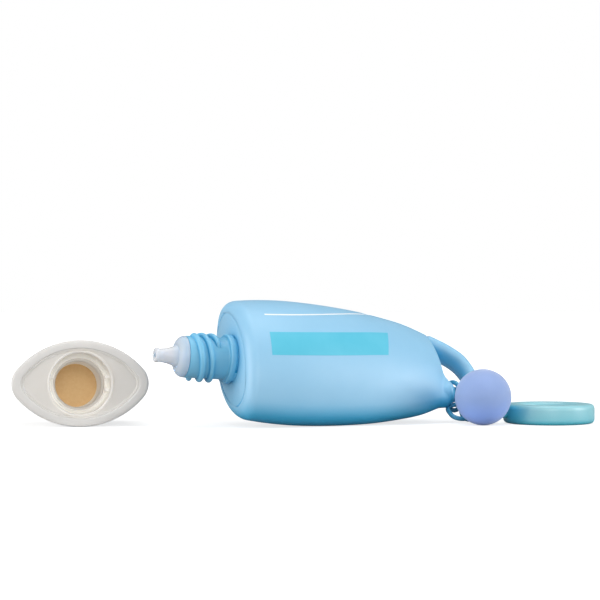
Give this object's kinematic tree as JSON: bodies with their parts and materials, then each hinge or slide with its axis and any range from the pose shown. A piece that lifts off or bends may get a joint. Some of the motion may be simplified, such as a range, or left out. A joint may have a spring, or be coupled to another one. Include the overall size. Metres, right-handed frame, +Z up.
{
  "type": "lotion bottle",
  "caption": "Flattened squeeze bottle with loop handle, threaded neck and dropper plug, a lens-shaped screw cap standing beside it, and a short chain with ball and ring charms.",
  "frame": {"origin": "on the floor under the middle of the whole set, as it lies in the picture", "axes": "+X along the set from the cap to the ring charm, +Y away from the viewer, +Z up"},
  "size_m": [0.2153, 0.0602, 0.0454],
  "materials": {
    "body_plastic": "soft satin sky blue moulded plastic",
    "nozzle_plastic": "milky translucent natural plastic",
    "cap_plastic": "warm white satin plastic",
    "cap_inner_plastic": "warm ivory satin plastic",
    "liner_foam": "tan foamed liner",
    "link_plastic": "deep teal moulded plastic",
    "ball_plastic": "matte lilac blue",
    "ring_plastic": "matte aqua"
  },
  "bodies": {
    "bottle": {"bottle_body": "body_plastic", "nozzle_plug": "nozzle_plastic"},
    "cap": {"cap_shell": "cap_plastic", "cap_insert": "cap_inner_plastic", "cap_liner": "liner_foam"},
    "link_1": {"chain_link_1": "link_plastic"},
    "link_2": {"chain_link_2": "link_plastic"},
    "link_3": {"chain_link_3": "link_plastic"},
    "link_4": {"chain_link_4": "link_plastic"},
    "ball": {"charm_ball": "ball_plastic"},
    "ring": {"charm_ring": "ring_plastic"}
  },
  "joints": [
    {"name": "cap_away", "type": "slide", "parent": "bottle", "child": "cap", "axis": [-1, 0, 0], "range_m": [0, 0.06]},
    {"name": "link_1_swing", "type": "hinge", "parent": "bottle", "child": "link_1", "pos_m": [0.05604, 0.01249, 0.01009], "axis": [0.9048, 0.4258, -0.0039], "range_deg": [-45, 45]},
    {"name": "link_2_swing", "type": "hinge", "parent": "link_1", "child": "link_2", "pos_m": [0.05686, 0.01125, 0.00441], "axis": [0, 0.7071, 0.7071], "range_deg": [-10, 45]},
    {"name": "link_3_swing", "type": "hinge", "parent": "link_2", "child": "link_3", "pos_m": [0.05971, 0.00281, 0.00174], "axis": [0, 1, 0], "range_deg": [0, 45]},
    {"name": "link_4_swing", "type": "hinge", "parent": "link_3", "child": "link_4", "pos_m": [0.06557, 0.00815, 0.00991], "axis": [0, 0, 1], "range_deg": [-10, 50]},
    {"name": "ball_swivel", "type": "hinge", "parent": "link_4", "child": "ball", "pos_m": [0.06948, 0.00309, 0.0094], "axis": [-0.6571, 0.5068, 0.558], "range_deg": [0, 50]},
    {"name": "ring_swing", "type": "hinge", "parent": "link_4", "child": "ring", "pos_m": [0.07168, 0.00109, 0.00296], "axis": [0, 0, -1], "range_deg": [-40, 20]}
  ]
}
